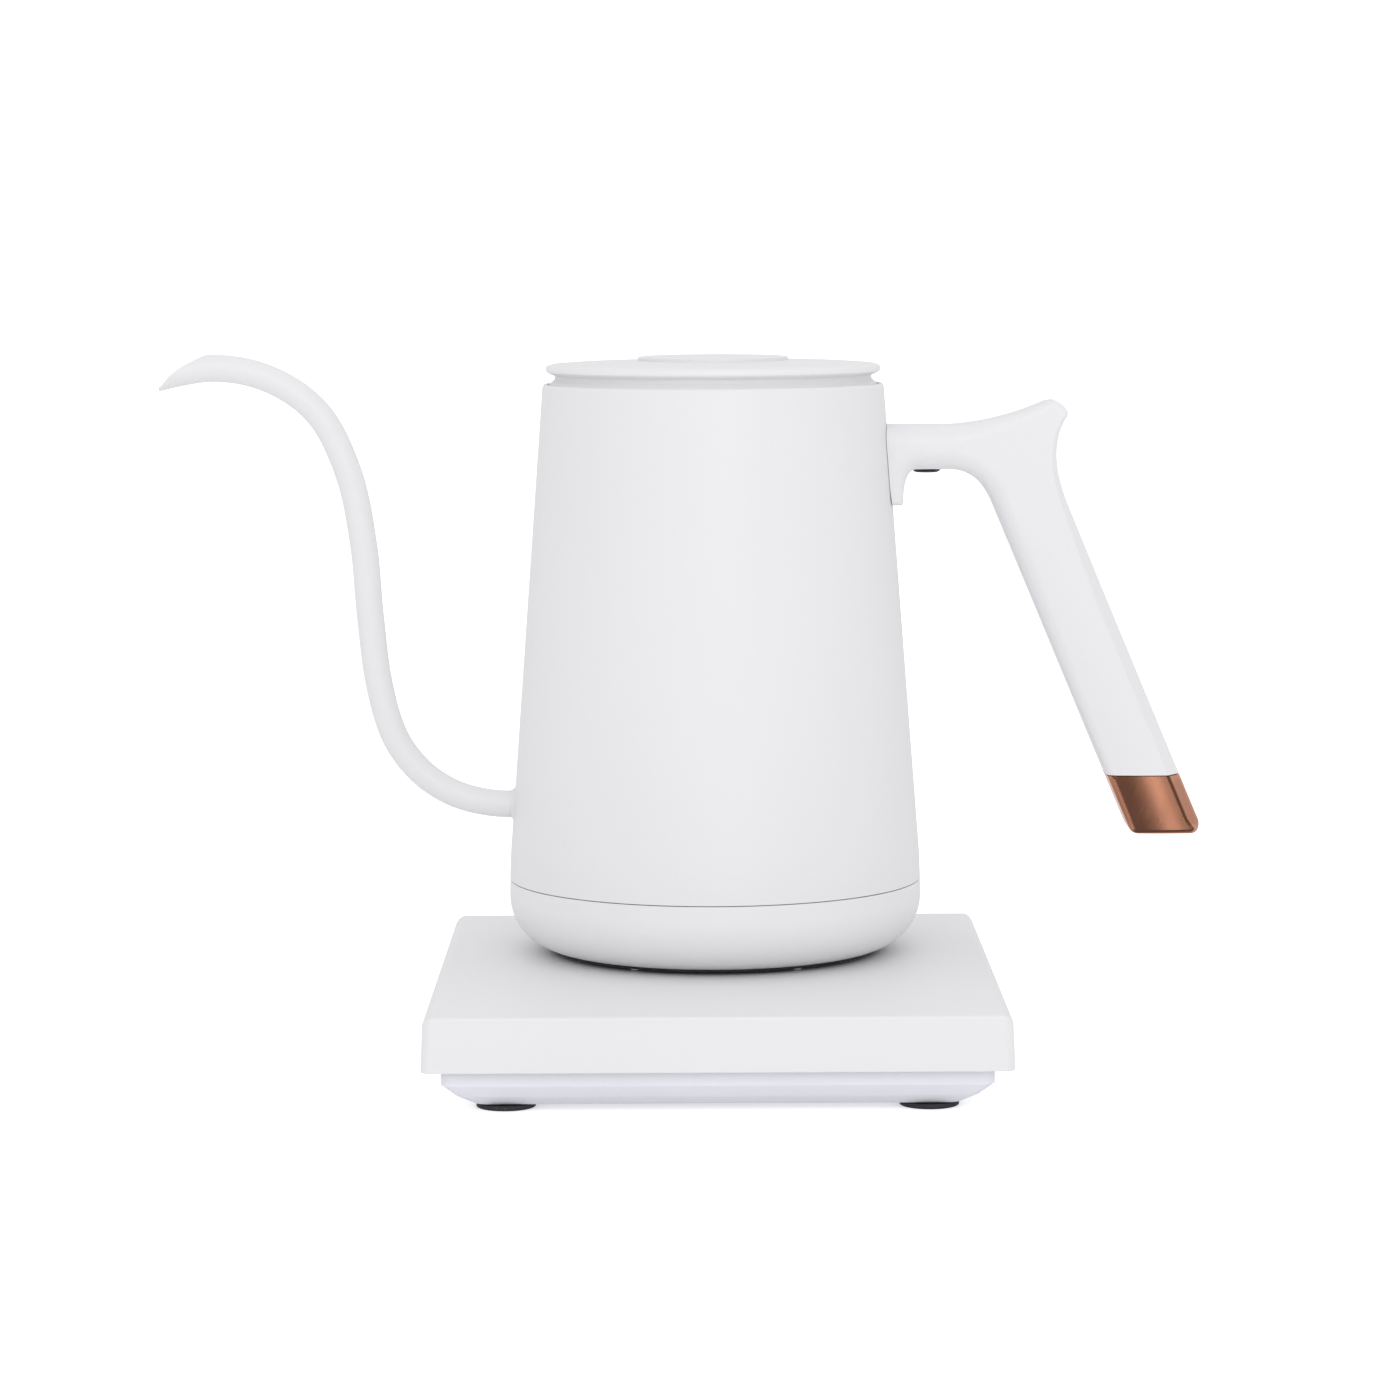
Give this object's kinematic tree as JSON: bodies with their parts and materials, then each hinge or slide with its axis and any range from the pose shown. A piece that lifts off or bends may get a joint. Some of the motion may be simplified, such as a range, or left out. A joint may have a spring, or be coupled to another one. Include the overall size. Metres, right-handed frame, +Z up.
{
  "type": "gooseneck kettle",
  "caption": "White electric gooseneck kettle with an open pistol-grip handle, standing on its flat square power base.",
  "frame": {"origin": "centre of the whole object's footprint box, on the surface the feet stand on", "axes": "+X from the spout to the handle, +Y from the front of the power base to its back, +Z up; the kettle's own axis stands at x 0.0089, y 0.0232"},
  "size_m": [0.2777, 0.1662, 0.1858],
  "materials": {
    "white_paint": "satin white powder coat",
    "white_plastic": "fine satin moulding",
    "handle_plastic": "soft satin moulding",
    "tray_plastic": "fine spark-eroded moulding",
    "black_plastic": "matt black moulding",
    "foot_rubber": "dull rubber",
    "silicone": "translucent white silicone",
    "copper_cap": "brushed copper-coloured plating",
    "bare_steel": "drawn stainless steel",
    "screw_steel": "zinc plated",
    "contact_brass": "bright contact metal",
    "circuit_board": "green solder mask",
    "display_glass": "dark display window"
  },
  "bodies": {
    "base": {"base_top_shell": "white_plastic", "base_bottom_tray": "tray_plastic", "base_foot_1": "foot_rubber", "base_foot_2": "foot_rubber", "base_foot_3": "foot_rubber", "base_foot_4": "foot_rubber", "base_screw_1": "screw_steel", "base_screw_2": "screw_steel", "base_screw_3": "screw_steel", "base_screw_4": "screw_steel", "cord_gland": "black_plastic", "cord_clamp": "black_plastic", "control_board": "circuit_board", "power_transformer": "black_plastic", "relay": "black_plastic", "smoothing_capacitor": "black_plastic", "beeper": "black_plastic", "touch_board": "circuit_board", "display_module": "display_glass", "socket_housing": "black_plastic", "socket_contact_live": "contact_brass", "socket_contact_neutral": "contact_brass", "socket_contact_earth": "contact_brass"},
    "swivel": {"socket_shutter_ring": "black_plastic"},
    "kettle": {"body_shell": "white_paint", "spout_tube": "white_paint", "collar": "white_plastic", "bottom_plate": "black_plastic", "bottom_screw_1": "screw_steel", "bottom_screw_2": "screw_steel", "bottom_screw_3": "screw_steel", "connector_housing": "black_plastic", "connector_ring_live": "contact_brass", "connector_ring_neutral": "contact_brass", "connector_earth_pin": "contact_brass", "heating_plate": "bare_steel", "plate_seal": "silicone", "heating_element": "bare_steel", "temperature_sensor": "bare_steel", "thermal_cutout": "contact_brass", "handle_bracket": "bare_steel", "handle_grip": "handle_plastic", "handle_end_cap": "copper_cap", "handle_screw": "screw_steel", "handle_screw_cover": "black_plastic"},
    "lid": {"lid_top": "white_plastic", "lid_plug": "tray_plastic", "lid_seal": "silicone", "lid_screw": "screw_steel"}
  },
  "joints": [
    {"name": "kettle_turn", "type": "hinge", "parent": "base", "child": "swivel", "pos_m": [0.0089, 0.0232, 0.0254], "axis": [0, 0, 1], "continuous": true},
    {"name": "kettle_lift", "type": "slide", "parent": "swivel", "child": "kettle", "axis": [0, 0, 1], "range_m": [0, 0.1]},
    {"name": "lid_lift", "type": "slide", "parent": "kettle", "child": "lid", "axis": [0, 0, 1], "range_m": [0, 0.05]}
  ]
}
